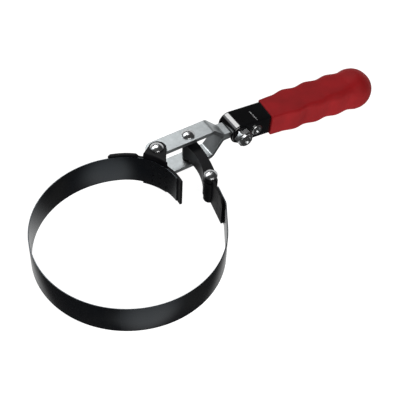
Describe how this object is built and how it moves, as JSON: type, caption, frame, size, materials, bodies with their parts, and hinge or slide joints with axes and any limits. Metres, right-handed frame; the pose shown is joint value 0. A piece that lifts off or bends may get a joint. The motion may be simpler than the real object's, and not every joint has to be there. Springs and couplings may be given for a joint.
{
  "type": "oil filter wrench",
  "caption": "Band wrench for large spin-on oil filters: an open spring-steel loop closed by a linked lever head, with a tipping handle and a vinyl grip.",
  "frame": {"origin": "centre of the loop, on the plane of the band's lower edge", "axes": "+Z along the loop's axis, +X the way the lever plates and handle leave the loop, +Y to the left of that"},
  "size_m": [0.3441, 0.1493, 0.0502],
  "materials": {
    "blued_band": "blued spring steel, satin with long soft reflections",
    "black_steel": "black oxide and paint, semi-gloss",
    "zinc_plate": "bright zinc plating, fine grain",
    "bright_fastener": "bright plated, polished",
    "gloss_black": "gloss black enamel",
    "red_vinyl": "dipped vinyl, satin"
  },
  "bodies": {
    "loop_rear": {"band_rear": "blued_band", "rear_shoe": "black_steel", "band_ties": "blued_band", "pivot_rivet": "bright_fastener"},
    "loop_left": {"band_left": "blued_band"},
    "loop_front": {"band_front": "blued_band"},
    "loop_right": {"band_right": "blued_band", "front_shoe": "black_steel", "shoe_ties": "blued_band", "shoe_rivet": "bright_fastener"},
    "head": {"upper_side_plate": "zinc_plate", "lower_side_plate": "zinc_plate", "arm_rivet": "bright_fastener", "pivot_spacer": "black_steel", "arm_spacers": "black_steel", "swivel_bolt": "bright_fastener", "lock_nut": "bright_fastener", "nut_washer": "black_steel"},
    "arm": {"link_arm": "black_steel"},
    "handle": {"handle_channel": "gloss_black", "stop_rivet": "bright_fastener", "stop_sleeve": "black_steel", "grip": "red_vinyl"}
  },
  "joints": [
    {"name": "head_pivot", "type": "hinge", "parent": "loop_rear", "child": "head", "pos_m": [0.0565, 0.056, 0.0127], "axis": [0, 0, 1], "range_deg": [-6, 24]},
    {"name": "arm_pivot", "type": "hinge", "parent": "head", "child": "arm", "pos_m": [0.086, 0.0578, 0.0127], "axis": [0, 0, 1], "range_deg": [-27.03, 6.83]},
    {"name": "flex_rear", "type": "hinge", "parent": "loop_rear", "child": "loop_left", "pos_m": [-0.06183, 0.0357, 0.0127], "axis": [0, 0, 1], "range_deg": [-0.54, 1.84], "stiffness_Nm_per_rad": 3},
    {"name": "flex_middle", "type": "hinge", "parent": "loop_left", "child": "loop_front", "pos_m": [-0.06333, -0.03297, 0.0127], "axis": [0, 0, 1], "range_deg": [-0.59, 2.07], "stiffness_Nm_per_rad": 3},
    {"name": "flex_front", "type": "hinge", "parent": "loop_front", "child": "loop_right", "pos_m": [-0.00622, -0.07113, 0.0127], "axis": [0, 0, 1], "range_deg": [-0.69, 2.45], "stiffness_Nm_per_rad": 3},
    {"name": "handle_swivel", "type": "hinge", "parent": "head", "child": "handle", "pos_m": [0.1314, 0.0596, 0.0127], "axis": [0, 1, 0], "range_deg": [-3, 85]}
  ],
  "couplings": [
    {"joint": "arm_pivot", "follows": "head_pivot", "ratio": -1.122},
    {"joint": "flex_rear", "follows": "head_pivot", "ratio": 0.0727},
    {"joint": "flex_middle", "follows": "head_pivot", "ratio": 0.0822},
    {"joint": "flex_front", "follows": "head_pivot", "ratio": 0.0978}
  ]
}
